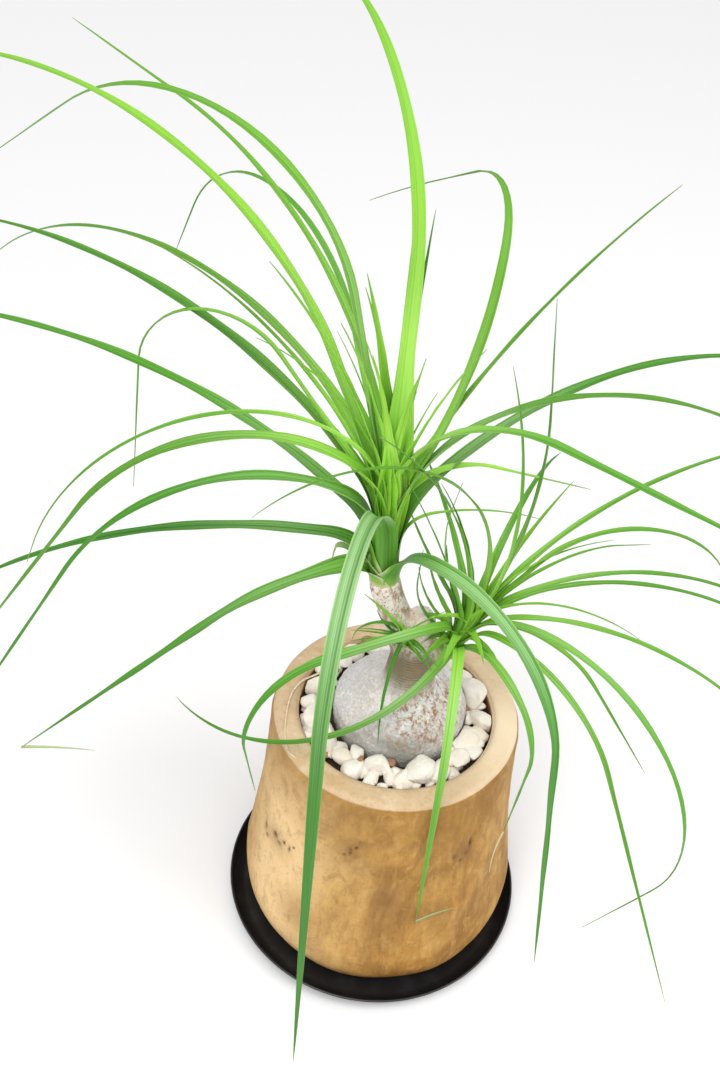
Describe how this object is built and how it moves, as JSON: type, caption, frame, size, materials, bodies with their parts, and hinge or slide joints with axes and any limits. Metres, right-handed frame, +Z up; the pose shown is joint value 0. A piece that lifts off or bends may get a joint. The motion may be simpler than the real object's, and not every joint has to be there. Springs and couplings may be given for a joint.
{
  "type": "potted nolina",
  "caption": "Potted nolina: a grey swollen stem base with a large and a small crown of arching strap leaves, in a turned wooden pot dressed with pumice, on a thin black saucer.",
  "frame": {"origin": "on the surface that the saucer stands on, straight below the pot's axis", "axes": "+Z up, +X to the right as the picture shows it, -Y towards the viewer"},
  "size_m": [0.574, 0.3315, 0.6509],
  "materials": {
    "saucer": "black, slightly glossy",
    "wooden_pot": "oiled, turned, with a few small pits",
    "soil": "dark loose soil",
    "pumice_stones": "off-white, matt, porous",
    "caudex_and_stems": "silver-grey bark, cracked into small plates",
    "main_crown_leaves": "smooth green leaf, fine long veins",
    "side_crown_leaves": "smooth green leaf, fine long veins",
    "small_shoot_leaves": "smooth green leaf",
    "dry_strand": "dry straw"
  },
  "bodies": {
    "root": {"saucer": "saucer", "wooden_pot": "wooden_pot", "soil": "soil", "pumice_stones": "pumice_stones", "caudex_and_stems": "caudex_and_stems", "main_crown_leaves": "main_crown_leaves", "side_crown_leaves": "side_crown_leaves", "small_shoot_leaves": "small_shoot_leaves", "dry_strand": "dry_strand"}
  },
  "joints": []
}
